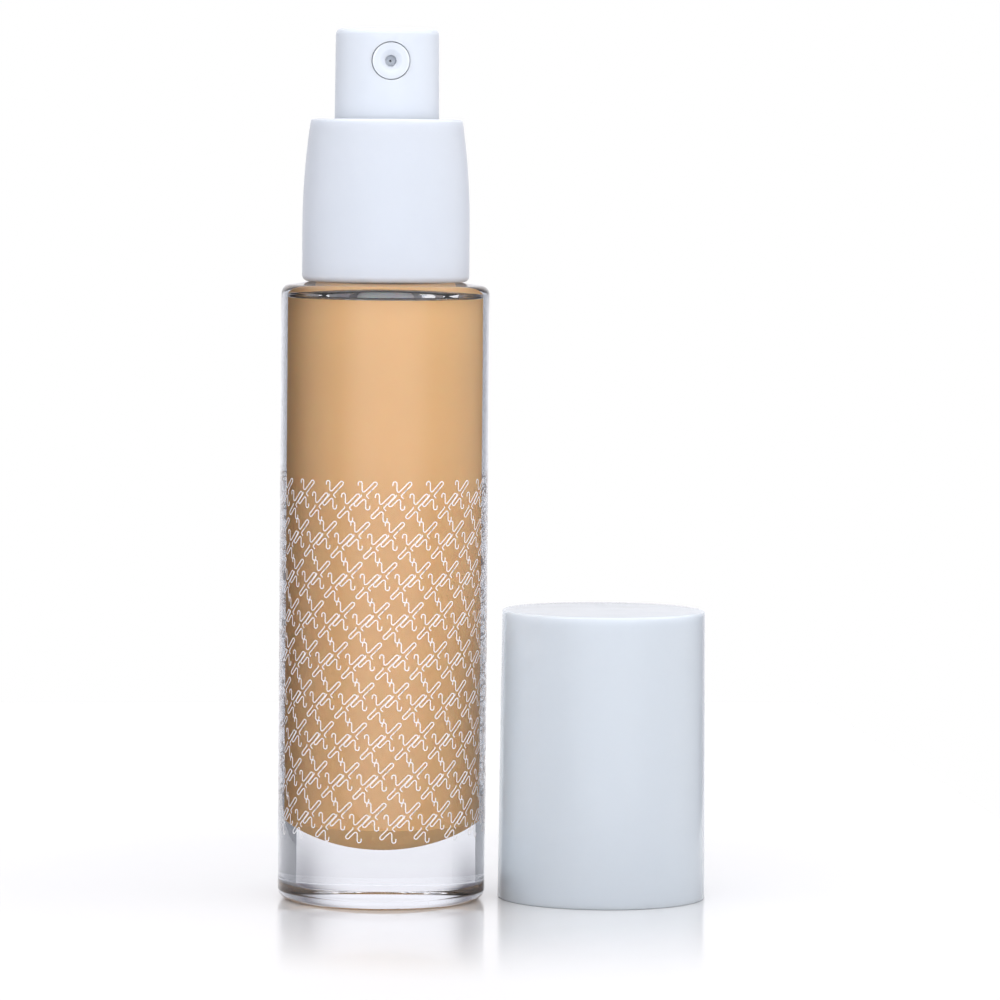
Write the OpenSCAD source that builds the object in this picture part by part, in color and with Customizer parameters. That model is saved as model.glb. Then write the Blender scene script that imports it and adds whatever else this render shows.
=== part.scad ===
// Foundation bottle: a heavy-based glass bottle with a screw-on treatment pump and a lift-off cap.
// The origin is on the bottle's axis at the plane it stands on, +Z is up and the nozzle faces -Y.
// The cap stands on its rim beside the bottle, on the +X side. Millimetres.

/* [Bottle] */
// Outer diameter of the glass
bottle_d = 34; // [32:0.5:44]
// Height of the shoulder's outer edge above the table
shoulder_h = 100.65; // [80:0.05:140]
// Thickness of the side wall
glass_wall = 6.4; // [4:0.1:7]
// Glass under the lowest point of the cavity
base_glass = 8.6; // [5:0.1:14]
// Depth of the cavity's rounded floor
floor_dome = 3.9; // [2:0.1:7]
// Glass between the shoulder's outer edge and the cavity's roof
shoulder_glass = 1.95; // [1.2:0.05:3]
// Slope of the shoulder up to the neck, in degrees
shoulder_slope = 9; // [4:1:20]
// Radius of the edge round the base
base_edge = 1.8; // [0.5:0.1:2.5]
// Radius of the shoulder's outer edge
shoulder_edge = 1.5; // [0.5:0.1:2]
// Width of the ring that the bottle stands on
bearing_ring = 2.2; // [1:0.1:4]
// Height of the hollow in the underside
punt_h = 1.2; // [0.5:0.1:2]

/* [Neck] */
// Diameter of the neck between its threads
neck_d = 19.4; // [18.4:0.1:23.4]
// Bore of the neck
neck_bore_d = 13.4; // [12.6:0.1:14.6]
// Height of the neck above the shoulder
neck_h = 12.8; // [12:0.1:18]
// How far the thread stands out of the neck
thread_depth = 0.9; // [0.6:0.05:1]
// Rise of the thread in one turn
thread_pitch = 3.175; // [2.6:0.005:3.4]
// Turns of thread on the neck and in the closure
thread_turns = 1.25; // [1:0.25:1.5]

/* [Contents] */
// How far the make-up's surface stays below the cavity's roof
air_gap = 0.4; // [0.1:0.1:6]

/* [Pump] */
// Travel of the pump when it is pressed
pump_stroke = 5; // [3:0.1:6.5]
// Bore of the dosing chamber
chamber_d = 8; // [7:0.1:9.6]
// Wall of the pump housing
housing_wall = 1.2; // [0.8:0.1:1.4]
// Diameter of the stem
stem_d = 4.4; // [3.8:0.1:4.8]
// Bore of the stem
stem_bore_d = 2.2; // [1.4:0.1:2.4]
// Length of the piston
piston_h = 3.7; // [3:0.1:5]
// How far the piston lags behind the stem to open its ports
piston_slip = 0.8; // [0.5:0.1:1.2]
// Diameter of the ball in the inlet valve
ball_d = 3; // [2.6:0.1:3.2]
// How far the ball lifts off its seat
ball_lift = 0.8; // [0.5:0.1:1.5]
// Outer diameter of the dip tube
tube_d = 3; // [2.6:0.1:3.4]
// Bore of the dip tube
tube_bore_d = 2; // [1.2:0.1:2.2]
// Wire of the return spring
wire_d = 0.6; // [0.4:0.05:0.7]
// Space between the return spring and the wall of the chamber
spring_room = 0.8; // [0.5:0.1:1]
// Turns of the return spring
spring_turns = 6.5; // [5:0.5:8]

/* [Collar] */
// Thickness of the outer collar round the closure
collar_side = 1.78; // [1:0.01:3]
// How far the collar's sides draw in towards its top edge
collar_taper = 1.25; // [0.2:0.05:1.5]
// Height of the collar's straight lower part
collar_straight = 9; // [5:0.5:14]
// Gap between the collar and the shoulder below its rim
collar_gap = 0.25; // [0.2:0.05:2]
// Wall of the collar above the closure
collar_wall = 1; // [0.7:0.1:1.2]
// Wall of the threaded closure inside the collar
closure_wall = 1; // [0.7:0.1:1.3]

/* [Actuator] */
// Diameter of the actuator at the bottom of its skirt
actuator_d = 17.1; // [16.5:0.1:19]
// Diameter of the actuator at its top
actuator_top_d = 16.8; // [16:0.1:18.6]
// Height of the actuator above the collar
actuator_show = 14.7; // [12:0.1:20]
// Wall of the actuator
actuator_wall = 1; // [0.7:0.1:1.2]
// How far the skirt reaches down inside the collar
skirt_overlap = 4.1; // [1.5:0.1:6]
// Diameter of the nozzle's face
nozzle_d = 6; // [5:0.1:6.6]
// Depth of the nozzle's centre below the actuator's top
nozzle_drop = 5.3; // [4.8:0.1:7]
// Diameter of the nozzle's hole
orifice_d = 1.9; // [0.8:0.1:2.2]

/* [Cap] */
// How far the cap's sides spread from its top to its rim
cap_draft = 0.4; // [0:0.05:0.6]
// Wall of the cap's outer shell
cap_wall = 1; // [0.7:0.1:1.2]
// Wall of the inner shell that grips the collar
liner_wall = 0.9; // [0.7:0.1:1.2]
// Space between the two shells
liner_space = 0.76; // [0.3:0.01:4]
// Thickness of the cap's top
cap_roof = 1.5; // [0.8:0.1:2.5]
// Room between the actuator and the closed cap's roof
cap_headroom = 4.3; // [1:0.1:10]
// Space between the bottle and the cap that stands beside it
cap_beside = 2.3; // [0.5:0.1:30]

/* [Fits] */
// Radial clearance of parts that slide or turn
running = 0.05; // [0.03:0.01:0.08]
// Gap left between faces that rest on each other
face_gap = 0.02; // [0.01:0.01:0.05]

/* [Hidden] */
$fn = 96;
over = 1;              // how far a cutting shape runs past what it cuts
corner_steps = 6;      // chords in a rounded corner
thread_steps = 48;     // chords in a turn of thread
spring_steps = 16;     // chords in a turn of the spring

// Radii
bottle_r = bottle_d / 2;
cavity_r = bottle_r - glass_wall;
neck_r = neck_d / 2;
neck_bore_r = neck_bore_d / 2;
chamber_r = chamber_d / 2;
housing_r = chamber_r + housing_wall;
stem_r = stem_d / 2;
stem_bore_r = stem_bore_d / 2;
ball_r = ball_d / 2;
tube_r = tube_d / 2;
tube_bore_r = tube_bore_d / 2;
wire_r = wire_d / 2;
spring_r = chamber_r - spring_room - wire_r;
actuator_r = actuator_d / 2;
hub_room = 0.6;                           // room between the closure's hub and the actuator
hub_r = actuator_r - actuator_wall - hub_room;
flange_inset = 0.1;                       // how far the pump's flange stays inside the neck's edge
flange_r = neck_r - flange_inset;
thread_room = 0.25;                       // radial room between a thread's crest and the other root
thread_rooted = 0.2;                      // how deep a thread's ridge is rooted in its wall
closure_bore_r = neck_r + thread_depth + thread_room;
closure_r = closure_bore_r + closure_wall;
sleeve_r = closure_r + face_gap;
collar_r = sleeve_r + collar_side;
collar_top_r = collar_r - collar_taper;
liner_room = 0.35;                        // room between the collar and the cap's inner shell
grip_room = 0.03;                         // what is left of it under the ribs that grip the collar
liner_r = collar_r + liner_room;
liner_grip_r = collar_r + grip_room;
cap_bore_r = liner_r + liner_wall + liner_space;
cap_top_r = cap_bore_r + cap_wall;
cap_r = cap_top_r + cap_draft;

// Heights, from the table up
shoulder_rise = tan(shoulder_slope);
neck_foot = shoulder_h + (bottle_r - shoulder_edge - neck_r) * shoulder_rise;
neck_top = neck_foot + neck_h;
thread_below_lip = 1.4;                   // from the neck's top to where the thread ends
thread_z = neck_top - thread_below_lip - thread_pitch * thread_turns;
cavity_roof = shoulder_h - shoulder_glass;
cavity_edge = 0.5;
roof_rise = (cavity_r - cavity_edge - neck_bore_r) * shoulder_rise;
fill_top = cavity_roof - air_gap;
gasket_h = 0.9;
flange_h = 1;
flange_z = neck_top + gasket_h;
guide_z = flange_z + flange_h;
guide_flange_h = 0.9;
deck_h = 1;
deck_z = guide_z + guide_flange_h + face_gap;
deck_top = deck_z + deck_h;
hub_h = 2.7;
hub_top = deck_top + hub_h;
press_room = 0.3;                         // room left under the actuator when it is fully down
skirt_z = deck_top + press_room + pump_stroke;
collar_z = shoulder_h + (bottle_r - shoulder_edge - collar_r) * shoulder_rise + collar_gap;
collar_top = skirt_z + skirt_overlap;
actuator_top = collar_top + actuator_show;
post_z = hub_top + press_room + pump_stroke;
nozzle_z = actuator_top - nozzle_drop;
stem_below_nozzle = 3.3;
socket_top = nozzle_z - stem_below_nozzle;

// The plunger, hung from the underside of the stem guide
piston_top = guide_z - piston_slip - 0.1;
seat_z = piston_top - piston_h;           // top of the rod's head, which the piston seals on
head_h = 0.8;
spring_top = seat_z - head_h;
spring_spare = 0.7;                       // what is left between the coils when the pump is down
spring_closed = spring_turns * wire_d + spring_spare;
spring_foot = spring_top - spring_closed - pump_stroke;

// The inlet valve, below the spring
lip_h = 0.4;
ball_room_r = ball_r + 0.4;
seat_tangent = 0.75;                      // tangent of the seat's half angle
seat_half_angle = atan(seat_tangent);
inlet_r = tube_bore_r;
lip_z = spring_foot - lip_h;
ball_top = lip_z - 0.1 - ball_lift;
ball_z = ball_top - ball_r;
seat_apex = ball_z - face_gap - ball_r / sin(seat_half_angle);
valve_seat_top = seat_apex + ball_room_r / seat_tangent;
valve_seat_foot = seat_apex + inlet_r / seat_tangent;
tube_top = valve_seat_foot - 1;
tube_grip = 5;
nose_r = max(ball_room_r, tube_r) + 0.8;
nose_foot = tube_top - tube_grip;
tube_off_floor = 1.3;
tube_foot = base_glass + tube_off_floor;

// The cap
cap_seat = shoulder_h;
cap_h = actuator_top - cap_seat + cap_headroom + cap_roof;
cap_x = bottle_r + cap_beside + cap_r;
liner_top = cap_h - cap_roof - face_gap;

// Points of a round stretch about a centre, from one angle to another.
function arc(centre, r, from, to, steps = corner_steps) =
    [for (i = [0:steps]) let (a = from + (to - from) * i / steps) centre + r * [cos(a), sin(a)]];

// Radius of the sphere that rises by h over a circle of radius r.
function dome_r(r, h) = (r * r + h * h) / (2 * h);

module turned() {
    rotate_extrude() children();
}

// A flat band from radius r0 to r1 and from height z0 to z1, to be turned.
module band(r0, r1, z0, z1) {
    translate([r0, z0]) square([r1 - r0, z1 - z0]);
}

module tube(r0, r1, z0, z1) {
    turned() band(r0, r1, z0, z1);
}

// A ridge that climbs round the Z axis: base and crest are its widths at the root and at the tip.
module thread_ridge(root_r, tip_r, base, crest, z, turns) {
    steps = round(turns * thread_steps);
    lead_in = thread_steps / 8;
    corners = 4;
    points = [
        for (i = [0:steps])
        let (
            a = 360 * i / thread_steps,
            grown = min(1, i / lead_in, (steps - i) / lead_in),
            tip = root_r + (tip_r - root_r) * max(0.25, grown),
            mid = z + thread_pitch * i / thread_steps
        )
        for (p = [[root_r, -base / 2], [tip, -crest / 2], [tip, crest / 2], [root_r, base / 2]])
        [p[0] * cos(a), p[0] * sin(a), mid + p[1]]
    ];
    sides = [
        for (i = [0:steps - 1], k = [0:corners - 1])
        let (a = i * corners + k, b = i * corners + (k + 1) % corners)
        each [[a, b, b + corners], [a, b + corners, a + corners]]
    ];
    last = steps * corners;
    ends = [[3, 2, 1], [3, 1, 0], [last, last + 1, last + 2], [last, last + 2, last + 3]];
    orient = tip_r > root_r;
    faces = concat(sides, ends);
    polyhedron(points, orient ? faces : [for (f = faces) [f[2], f[1], f[0]]]);
}

// ---- The bottle ----

// Half section of the space inside the glass, up to a given height in the neck.
module cavity_section(top) {
    floor_r = dome_r(cavity_r, floor_dome);
    floor_angle = asin(cavity_r / floor_r);
    polygon(concat(
        arc([0, base_glass + floor_r], floor_r, -90, floor_angle - 90, 14),
        arc([cavity_r - cavity_edge, cavity_roof - cavity_edge], cavity_edge, 0, 90),
        [[neck_bore_r, cavity_roof + roof_rise], [neck_bore_r, top], [0, top]]
    ));
}

module glass_section() {
    stand_r = bottle_r - base_edge;
    punt_r = stand_r - bearing_ring;
    punt_sphere = dome_r(punt_r, punt_h);
    punt_angle = asin(punt_r / punt_sphere);
    lip = 0.5;
    difference() {
        polygon(concat(
            arc([0, punt_h - punt_sphere], punt_sphere, 90, 90 - punt_angle, 10),
            arc([stand_r, base_edge], base_edge, -90, 0),
            arc([bottle_r - shoulder_edge, shoulder_h - shoulder_edge], shoulder_edge, 0, 90),
            [[neck_r, neck_foot]],
            arc([neck_r - lip, neck_top - lip], lip, 0, 90, 3),
            [[0, neck_top]]
        ));
        cavity_section(neck_top + over);
    }
}

module glass_bottle() {
    base = 2.1;
    crest = 0.9;
    color("lightcyan") union() {
        turned() glass_section();
        thread_ridge(
            neck_r - thread_rooted, neck_r + thread_depth, base, crest, thread_z, thread_turns
        );
    }
}

module foundation_fill() {
    clear_of_pump = 0.15;          // room that lets the pump lift out of the make-up
    color("burlywood") turned() difference() {
        intersection() {
            cavity_section(neck_top);
            translate([0, base_glass - over]) square([cavity_r + over, fill_top - base_glass + over]);
        }
        pump_recess_section(clear_of_pump);
    }
}

// ---- The pump's fixed parts ----

cone_top = spring_foot - 1.2;
cone_h = 1.5;

// Half section of what the pump takes up in the make-up, with room round it.
module pump_recess_section(room) {
    polygon([
        [-over, tube_foot - room], [tube_r + room, tube_foot - room],
        [tube_r + room, nose_foot - room], [nose_r + room, nose_foot - room],
        [nose_r + room, cone_top - cone_h], [housing_r + room, cone_top - room],
        [housing_r + room, neck_top], [-over, neck_top]
    ]);
}

module pump_housing() {
    color("white") turned() difference() {
        union() {
            polygon([
                [0, nose_foot], [nose_r, nose_foot], [nose_r, cone_top - cone_h],
                [housing_r, cone_top], [housing_r, guide_z], [0, guide_z]
            ]);
            band(0, flange_r, flange_z, guide_z);
        }
        band(-over, chamber_r, spring_foot, guide_z + over);
        band(-over, ball_r - 0.2, lip_z - over, spring_foot + over);
        band(-over, ball_room_r, valve_seat_top, lip_z);
        polygon([
            [-over, valve_seat_foot], [inlet_r, valve_seat_foot],
            [ball_room_r, valve_seat_top], [-over, valve_seat_top]
        ]);
        band(-over, inlet_r, tube_top - over, valve_seat_foot + over / 4);
        band(-over, tube_r, nose_foot - over, tube_top);
    }
}

module neck_gasket() {
    color("ivory") tube(housing_r + running, flange_r, neck_top, flange_z);
}

module stem_guide() {
    core_wall = 0.9;
    color("white") turned() difference() {
        union() {
            band(stem_r + running, flange_r, guide_z, guide_z + guide_flange_h);
            band(stem_r + running, hub_r, guide_z, hub_top);
        }
        band(stem_r + running + core_wall, hub_r - core_wall, deck_z, hub_top + over);
    }
}

module dip_tube() {
    color("whitesmoke") difference() {
        tube(tube_bore_r, tube_r, tube_foot, tube_top);
        // the slanted cut that keeps the end from sealing against the floor
        translate([0, 0, tube_foot]) rotate([0, 30, 0]) translate([-5, -5, -10]) cube([10, 10, 10]);
    }
}

module inlet_ball() {
    color("silver") translate([0, 0, ball_z]) sphere(ball_r);
}

// ---- The plunger ----

// The spring's closed end coils lie flat, and the turns between them share the rest of its height.
module return_spring() {
    sides = 8;
    end_turns = 1;
    steps = spring_turns * spring_steps;
    foot = spring_foot + wire_r + face_gap;
    head = spring_top - wire_r - face_gap;
    closed = wire_d + 0.03;
    middle = spring_turns - 2 * end_turns;
    rise = (head - foot - 2 * end_turns * closed) / middle;
    function height(t) =
        t < end_turns ? foot + t * closed
        : t > end_turns + middle ? head - (spring_turns - t) * closed
        : foot + end_turns * closed + (t - end_turns) * rise;
    points = [
        for (i = [0:steps], k = [0:sides - 1])
        let (a = 360 * i / spring_steps, b = 360 * k / sides, r = spring_r + wire_r * cos(b))
        [r * cos(a), r * sin(a), height(i / spring_steps) + wire_r * sin(b)]
    ];
    walls = [
        for (i = [0:steps - 1], k = [0:sides - 1])
        let (a = i * sides + k, b = i * sides + (k + 1) % sides)
        each [[a, a + sides, b + sides], [a, b + sides, b]]
    ];
    start = [for (k = [0:sides - 1]) k];
    end = [for (k = [sides - 1:-1:0]) steps * sides + k];
    color("silver") polyhedron(points, concat(walls, [start, end]));
}

module piston_rod() {
    shank_r = stem_bore_r * 0.65;
    shank_top = seat_z + 1.3;
    fin_top = shank_top + 2.2;
    fin = stem_bore_r * 0.6;
    pin_h = 1.5;
    color("whitesmoke") union() {
        turned() band(0, spring_r + wire_r + 0.2, spring_top, seat_z);
        turned() band(0, spring_r - wire_r - 0.2, spring_top - pin_h, spring_top + head_h / 2);
        turned() band(0, shank_r, seat_z - head_h / 2, shank_top + 0.3);
        intersection() {
            tube(0, stem_bore_r, shank_top, fin_top);
            for (a = [0, 90]) {
                rotate(a) translate([-2 * stem_r, -fin / 2, shank_top]) cube([4 * stem_r, fin, 3]);
            }
        }
    }
}

module main_stem() {
    port_r = 0.35;
    color("white") difference() {
        tube(stem_bore_r, stem_r, seat_z + face_gap, socket_top - 0.1);
        for (a = [45, 135]) {
            translate([0, 0, seat_z + 0.6]) rotate([0, 90, a])
                cylinder(r = port_r, h = 4 * stem_r, center = true, $fn = 32);
        }
    }
}

module piston() {
    lip = 0.8;
    waist_r = chamber_r - 0.6;
    lip_r = chamber_r - running / 2;
    foot = seat_z + face_gap;
    well_r = stem_r + 0.7;
    color("ivory") turned() difference() {
        union() {
            band(stem_r + running, waist_r, foot, piston_top);
            band(stem_r + running, lip_r, foot, foot + lip);
            band(stem_r + running, lip_r, piston_top - lip, piston_top);
        }
        band(0, well_r, foot - over, foot + 1);
    }
}

// ---- The closure and the collar over it ----

module screw_closure() {
    foot = collar_z + 0.4;
    base = 1.5;
    crest = 0.6;
    below = thread_z - thread_pitch / 2;
    color("white") union() {
        turned() difference() {
            band(hub_r + 0.2, closure_r, foot, deck_top);
            band(0, closure_bore_r, foot - over, deck_z);
        }
        thread_ridge(
            closure_bore_r + thread_rooted, neck_r + thread_room, base, crest, below, thread_turns
        );
    }
}

module collar_shell() {
    foot_edge = 1;
    top_edge = 0.4;
    inner_edge = 0.3;
    straight_z = collar_z + collar_straight;
    taper_h = collar_top - top_edge - straight_z;
    taper_r = dome_r(taper_h, collar_taper);
    taper_angle = asin(taper_h / taper_r);
    mouth_lip = 0.6;
    upper_r = collar_top_r - collar_wall;
    mouth_r = actuator_r + 0.3;
    color("white") turned() polygon(concat(
        arc([collar_r - foot_edge, collar_z + foot_edge], foot_edge, -90, 0),
        arc([collar_r - taper_r, straight_z], taper_r, 0, taper_angle, 16),
        arc([collar_top_r - top_edge, collar_top - top_edge], top_edge, 0, 90),
        arc([mouth_r + inner_edge, collar_top - inner_edge], inner_edge, 90, 180, 3),
        [
            [mouth_r, skirt_z + 0.4], [mouth_r + mouth_lip, skirt_z + 0.4],
            [mouth_r + mouth_lip, collar_top - collar_wall], [upper_r, collar_top - collar_wall],
            [upper_r, deck_top + face_gap], [sleeve_r, deck_top + face_gap],
            [sleeve_r, collar_z + 0.3], [sleeve_r + 0.3, collar_z]
        ]
    ));
}

// ---- The actuator ----

module actuator_section() {
    top_r = actuator_top_d / 2;
    edge = 0.9;
    wall = actuator_wall;
    ceiling = actuator_top - 1.2;
    polygon(concat(
        [[actuator_r - wall, skirt_z], [actuator_r - 0.15, skirt_z], [actuator_r, skirt_z + 0.15]],
        arc([top_r - edge, actuator_top - edge], edge, 0, 90),
        [[0, actuator_top], [0, ceiling], [top_r - wall, ceiling]]
    ));
}

// Depths along -Y: the back of the insert's stepped seat, its step and its face.
insert_face = actuator_top_d / 2 - 0.1;
insert_step = insert_face - 1.2;
insert_back = insert_step - 2.1;
insert_grip_r = nozzle_d / 2 - 0.35;
insert_groove = 0.12;

// A round bar that runs from one distance to another along -Y at the nozzle's height.
module toward_front(r, from, to) {
    translate([0, -from, nozzle_z]) rotate([90, 0, 0]) cylinder(r = r, h = to - from);
}

module actuator() {
    post_r = stem_r + 1.1;
    ceiling = actuator_top - 1.2;
    boss_r = nozzle_d / 2 + 1;
    boss_to = actuator_top_d / 2 - actuator_wall / 2;
    color("aliceblue") difference() {
        union() {
            turned() actuator_section();
            tube(0, post_r, post_z, ceiling + 0.5);
            toward_front(boss_r, 0, boss_to);
        }
        tube(0, stem_r + running, post_z - over, socket_top);
        tube(0, stem_bore_r, socket_top - over, nozzle_z);
        toward_front(stem_bore_r * 0.8, 0, insert_back + over);
        toward_front(insert_grip_r, insert_back, insert_step + over);
        toward_front(nozzle_d / 2 + insert_groove, insert_step, actuator_r + over);
    }
}

module nozzle_insert() {
    dish = 0.45;
    dish_r = nozzle_d / 3.1;
    color("aliceblue") difference() {
        union() {
            toward_front(insert_grip_r, insert_back, insert_step + over / 2);
            toward_front(nozzle_d / 2, insert_step + face_gap, insert_face);
        }
        toward_front(orifice_d / 2, insert_back + 1, insert_face + over);
        toward_front(stem_bore_r * 0.5, insert_back - over, insert_back + 1.5);
        translate([0, -insert_face + dish, nozzle_z]) rotate([90, 0, 0])
            cylinder(r1 = orifice_d / 2, r2 = dish_r, h = dish + 0.001);
    }
}

// ---- The cap ----

module at_cap() {
    translate([cap_x, 0, 0]) children();
}

module cap_shell() {
    edge = 0.35;
    rim = 0.2;
    color("aliceblue") at_cap() turned() polygon(concat(
        [[cap_bore_r, 0]],
        arc([cap_r - rim, rim], rim, -90, 0, 3),
        arc([cap_top_r - edge, cap_h - edge], edge, 0, 90),
        [[0, cap_h], [0, cap_h - cap_roof], [cap_bore_r, cap_h - cap_roof]]
    ));
}

module cap_liner() {
    foot = 0.6;
    flange = 1;
    spokes = 8;
    grips = 6;
    outer = cap_bore_r - face_gap;
    grip_h = collar_straight;
    color("whitesmoke") at_cap() union() {
        tube(liner_r, liner_r + liner_wall, foot, liner_top);
        tube(liner_r, outer, foot, foot + flange);
        intersection() {
            tube(liner_r + liner_wall / 2, outer, foot, liner_top);
            for (i = [0:spokes - 1]) {
                rotate(360 / spokes * i) translate([0, -0.4, foot]) cube([cap_r, 0.8, liner_top]);
            }
        }
        intersection() {
            tube(liner_grip_r, liner_r + liner_wall / 2, foot + 1.5, foot + 1.5 + grip_h);
            for (i = [0:grips - 1]) {
                rotate(360 / grips * (i + 0.5)) translate([0, -0.6, foot]) cube([cap_r, 1.2, 20]);
            }
        }
    }
}

glass_bottle();
foundation_fill();
screw_closure();
collar_shell();
neck_gasket();
pump_housing();
stem_guide();
dip_tube();
inlet_ball();
return_spring();
piston_rod();
main_stem();
piston();
actuator();
nozzle_insert();
cap_shell();
cap_liner();
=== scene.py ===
# %% [markdown]
# # A foundation bottle, its pump and its cap
#
# This lesson builds the looks of a foundation bottle around a packed mechanical model.
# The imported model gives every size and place, and this script makes the glass, the make-up,
# the printed lines, the pump's white plastics and the studio. The real bottle is pressed glass,
# its pump and cap are injection moulded, and the lines are screen printed on the outside.

# %% Load the mechanical frame
import math

import bmesh
import bpy
from mathutils import Matrix, Vector


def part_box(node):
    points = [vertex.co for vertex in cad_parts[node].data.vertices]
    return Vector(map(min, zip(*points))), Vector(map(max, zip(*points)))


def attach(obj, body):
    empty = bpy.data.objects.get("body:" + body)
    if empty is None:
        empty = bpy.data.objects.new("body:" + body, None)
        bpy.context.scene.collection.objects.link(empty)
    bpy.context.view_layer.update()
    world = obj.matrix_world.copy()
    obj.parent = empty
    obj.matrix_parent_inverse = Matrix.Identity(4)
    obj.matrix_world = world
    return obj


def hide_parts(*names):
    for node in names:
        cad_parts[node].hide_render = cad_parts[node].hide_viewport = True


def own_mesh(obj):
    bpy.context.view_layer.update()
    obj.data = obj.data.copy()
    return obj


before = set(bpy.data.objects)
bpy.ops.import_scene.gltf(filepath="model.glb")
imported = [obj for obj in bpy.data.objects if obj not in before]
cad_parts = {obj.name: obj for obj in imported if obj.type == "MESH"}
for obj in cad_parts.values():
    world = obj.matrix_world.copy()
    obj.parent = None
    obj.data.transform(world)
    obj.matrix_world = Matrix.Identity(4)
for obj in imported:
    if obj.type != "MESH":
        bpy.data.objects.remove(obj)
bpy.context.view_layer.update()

MM = 0.001

# %% [markdown]
# ## Sizes
#
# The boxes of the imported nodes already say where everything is, so sizes are read from them.
# Only what a box can't tell, such as the slope of the shoulder, is named here.

# %% Sizes of the glass
glass_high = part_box("glass_bottle")[1]
fill_low, fill_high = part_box("foundation_fill")

BOTTLE_R = glass_high.x
NECK_TOP = glass_high.z
CAVITY_R = fill_high.x
CAVITY_FLOOR = fill_low.z
FILL_TOP = fill_high.z

SHOULDER_SLOPE = math.radians(9)
NECK_H = 12.8 * MM
NECK_R = 9.7 * MM
NECK_BORE_R = 6.7 * MM
SHOULDER_EDGE = 1.5 * MM
SHOULDER_GLASS = 1.95 * MM
CAVITY_EDGE = 0.5 * MM
FLOOR_DOME = 3.9 * MM
BASE_EDGE = 1.8 * MM
BEARING_RING = 2.2 * MM
PUNT_H = 1.2 * MM

NECK_FOOT = NECK_TOP - NECK_H
SHOULDER_H = NECK_FOOT - (BOTTLE_R - SHOULDER_EDGE - NECK_R) * math.tan(SHOULDER_SLOPE)
CAVITY_ROOF = SHOULDER_H - SHOULDER_GLASS
print("shoulder at", round(SHOULDER_H / MM, 2), "mm, wall", round((BOTTLE_R - CAVITY_R) / MM, 2), "mm")

# %% [markdown]
# ## Turning an outline into a solid
#
# Almost every piece here is round, as it comes off a mould that was turned on a lathe. A curve
# with a Screw modifier could make them, but a small mesh function gives closed poles, outward
# faces and a place to press a thread into the neck, so that is what this lesson uses. The
# outline is a list of (radius, height) points, and its round stretches are arcs.

# %% Outline helpers
TURN_SEGMENTS = 192
ON_AXIS = 1e-7


def arc(centre, radius, start, end, steps=10):
    """Points on an arc from one angle to another, in degrees."""
    points = []
    for i in range(steps + 1):
        angle = math.radians(start + (end - start) * i / steps)
        points.append((centre[0] + radius * math.cos(angle), centre[1] + radius * math.sin(angle)))
    return points


def sphere_over(radius, rise):
    """Radius of the sphere that rises by `rise` over a circle of radius `radius`."""
    return (radius * radius + rise * rise) / (2 * rise)


def spaced(start, end, step):
    """Points on a straight line, about `step` apart, without its end."""
    length = math.dist(start, end)
    count = max(1, round(length / step))
    return [tuple(a + (b - a) * i / count for a, b in zip(start, end)) for i in range(count)]


# %% The turning function
def join_rings(bm, low, high):
    count = max(len(low), len(high))
    for i in range(count):
        j = (i + 1) % count
        corners = [low[i % len(low)], low[j % len(low)], high[j % len(high)], high[i % len(high)]]
        face = list(dict.fromkeys(corners))
        if len(face) > 2:
            bm.faces.new(face)


def turned(outline, segments=TURN_SEGMENTS, swell=None):
    """Turns a closed outline about Z. `swell` adds to the radius at an angle and a height."""
    bm = bmesh.new()
    rings = []
    for radius, height in outline:
        if radius < ON_AXIS:
            rings.append([bm.verts.new((0, 0, height))])
            continue
        ring = []
        for i in range(segments):
            angle = 2 * math.pi * i / segments
            r = radius + (swell(angle, radius, height) if swell else 0)
            ring.append(bm.verts.new((r * math.cos(angle), r * math.sin(angle), height)))
        rings.append(ring)
    for low, high in zip(rings, rings[1:] + rings[:1]):
        if len(low) > 1 or len(high) > 1:
            join_rings(bm, low, high)
    bmesh.ops.recalc_face_normals(bm, faces=bm.faces)
    return bm


def as_object(name, bm, sharp=35):
    """Makes an object from a bmesh, smooth except over edges sharper than an angle."""
    mesh = bpy.data.meshes.new(name)
    bm.to_mesh(mesh)
    bm.free()
    obj = bpy.data.objects.new(name, mesh)
    bpy.context.scene.collection.objects.link(obj)
    smooth(obj, sharp)
    print(name, len(mesh.polygons), "faces")
    return obj


def smooth(obj, sharp=35):
    obj.data.shade_smooth()
    obj.data.set_sharp_from_angle(angle=math.radians(sharp))


def placed(bm, matrix):
    bmesh.ops.transform(bm, matrix=matrix, verts=bm.verts)
    return bm


# %% Turning a node tree's result into a plain mesh
def freeze(obj):
    """Replaces an object's mesh by what its modifiers make of it, and removes them."""
    depsgraph = bpy.context.evaluated_depsgraph_get()
    result = bpy.data.meshes.new_from_object(obj.evaluated_get(depsgraph), depsgraph=depsgraph)
    obj.modifiers.clear()
    obj.data = result
    return obj


# %% [markdown]
# ## Shader groups that the finishes share
#
# Moulded plastic, glass and metal all need the same three things in different amounts: a
# colour that drifts a little, a roughness that handling has changed here and there, and a very
# fine relief. Each is a node group with named inputs, made once and placed in every material.

# %% Small helpers for node trees
def node(tree, kind, **settings):
    made = tree.nodes.new(kind)
    for name, value in settings.items():
        setattr(made, name, value)
    return made


def new_group(name, inputs, outputs):
    """A shader node group with its named inputs, given with their defaults, and its outputs."""
    group = bpy.data.node_groups.new(name, "ShaderNodeTree")
    for label, (kind, default) in inputs.items():
        socket = group.interface.new_socket(label, in_out="INPUT", socket_type=kind)
        socket.default_value = default
    for label, kind in outputs.items():
        group.interface.new_socket(label, in_out="OUTPUT", socket_type=kind)
    return group, node(group, "NodeGroupInput"), node(group, "NodeGroupOutput")


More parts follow.
